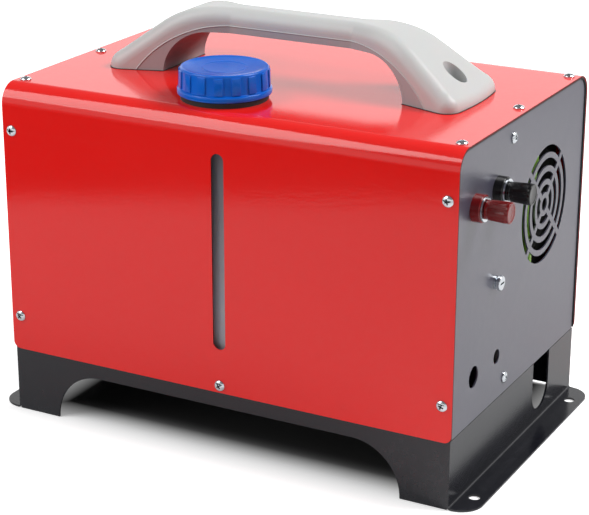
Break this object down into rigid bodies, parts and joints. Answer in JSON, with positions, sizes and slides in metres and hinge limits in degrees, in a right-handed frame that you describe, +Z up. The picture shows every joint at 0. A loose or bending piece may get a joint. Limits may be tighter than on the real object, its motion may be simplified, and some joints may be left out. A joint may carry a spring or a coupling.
{
  "type": "portable diesel air heater",
  "caption": "Portable diesel air heater: red steel case with a carrying handle, fuel tank with screw cap, fan grille, supply posts and a base with foot flanges.",
  "frame": {"origin": "on the floor, at the centre of the four holes of the foot flanges", "axes": "+X along the case towards the fan grille, +Y from the front to the back, +Z up"},
  "size_m": [0.4296, 0.2548, 0.32],
  "materials": {
    "cover_red": "gloss powder coat",
    "panel_grey": "semi-gloss powder coat",
    "base_black": "semi-gloss powder coat",
    "inner_steel": "zinc plated sheet",
    "zinc": "bright zinc plated",
    "handle_grey": "satin moulded plastic",
    "tank_white": "translucent polyethylene",
    "cap_blue": "glossy moulded plastic",
    "black_rubber": "matt rubber",
    "post_red": "glossy moulded plastic",
    "post_black": "glossy moulded plastic",
    "hose_green": "semi-gloss fuel hose",
    "filter_clear": "clear plastic",
    "black_plastic": "matt moulded plastic",
    "cast_alu": "as cast",
    "burner_steel": "heat tinted steel",
    "brass_fitting": "plain",
    "motor_steel": "zinc plated",
    "gasket_grey": "fibre gasket",
    "lead_red": "PVC insulation",
    "lead_black": "PVC insulation"
  },
  "bodies": {
    "case": {"cover": "cover_red", "end_panel_right": "panel_grey", "end_panel_left": "panel_grey", "base_front_wall": "base_black", "base_rear_wall": "base_black", "base_side_right": "base_black", "base_side_left": "base_black", "deck_plate": "base_black", "partition_plate": "inner_steel", "partition_grommets": "black_rubber", "case_screws": "zinc", "case_nuts": "zinc", "hex_nuts": "zinc", "handle_upper": "handle_grey", "handle_lower": "handle_grey", "handle_screws": "zinc", "fuel_tank": "tank_white", "tank_pads": "black_rubber", "filler_grommet": "black_rubber", "red_post_base": "post_red", "black_post_base": "post_black", "post_studs": "zinc", "earth_bolt": "zinc", "earth_washers": "zinc", "tank_outlet": "brass_fitting", "suction_hose": "hose_green", "fuel_filter": "filter_clear", "filter_hose": "hose_green", "fuel_pump": "motor_steel", "pump_clamp": "black_rubber", "heater_hose": "hose_green", "heater_upper_casing": "black_plastic", "heater_lower_casing": "black_plastic", "inlet_ring": "black_plastic", "outlet_hood": "black_plastic", "heat_exchanger": "cast_alu", "burner_tube": "burner_steel", "burner_housing": "cast_alu", "glow_plug": "burner_steel", "fuel_inlet_fitting": "brass_fitting", "blower_motor": "motor_steel", "heater_stand": "inner_steel", "mount_gasket": "gasket_grey", "stand_screws": "zinc", "exhaust_pipe": "burner_steel", "intake_pipe": "black_plastic", "pipe_clamps": "zinc", "control_unit": "black_plastic", "red_lead": "lead_red", "black_lead": "lead_black"},
    "cap_seal_body": {"cap_seal": "black_rubber"},
    "cap": {"fuel_cap": "cap_blue"},
    "red_washer": {"red_post_washer": "zinc"},
    "red_knob": {"red_post_knob": "post_red"},
    "black_washer": {"black_post_washer": "zinc"},
    "black_knob": {"black_post_knob": "post_black"},
    "rotor": {"motor_shaft": "motor_steel", "blower_fan": "black_plastic", "combustion_impeller": "black_plastic"},
    "plunger": {"pump_plunger": "zinc"}
  },
  "joints": [
    {"name": "cap_lift", "type": "slide", "parent": "case", "child": "cap_seal_body", "axis": [0, 0, 1], "range_m": [0, 0.01252]},
    {"name": "cap_turn", "type": "hinge", "parent": "cap_seal_body", "child": "cap", "pos_m": [-0.0215, -0.076, 0.283], "axis": [0, 0, 1], "range_deg": [0, 900]},
    {"name": "red_washer_slide", "type": "slide", "parent": "case", "child": "red_washer", "axis": [1, 0, 0], "range_m": [0, 0.005]},
    {"name": "red_knob_turn", "type": "hinge", "parent": "red_washer", "child": "red_knob", "pos_m": [0.2, -0.0925, 0.2208], "axis": [1, 0, 0], "range_deg": [0, 1443]},
    {"name": "black_washer_slide", "type": "slide", "parent": "case", "child": "black_washer", "axis": [1, 0, 0], "range_m": [0, 0.005]},
    {"name": "black_knob_turn", "type": "hinge", "parent": "black_washer", "child": "black_knob", "pos_m": [0.2, -0.052, 0.2226], "axis": [1, 0, 0], "range_deg": [0, 1443]},
    {"name": "fan_spin", "type": "hinge", "parent": "case", "child": "rotor", "pos_m": [0.15, 0.0442, 0.1836], "axis": [1, 0, 0], "continuous": true},
    {"name": "plunger_stroke", "type": "slide", "parent": "case", "child": "plunger", "axis": [1, 0, 0], "range_m": [0, 0.003], "stiffness_N_per_m": 60}
  ],
  "couplings": [
    {"joint": "cap_lift", "follows": "cap_turn", "m_per_rad": 0.00079577},
    {"joint": "red_knob_turn", "follows": "red_washer_slide", "rad_per_m": 5026.5},
    {"joint": "black_knob_turn", "follows": "black_washer_slide", "rad_per_m": 5026.5}
  ]
}
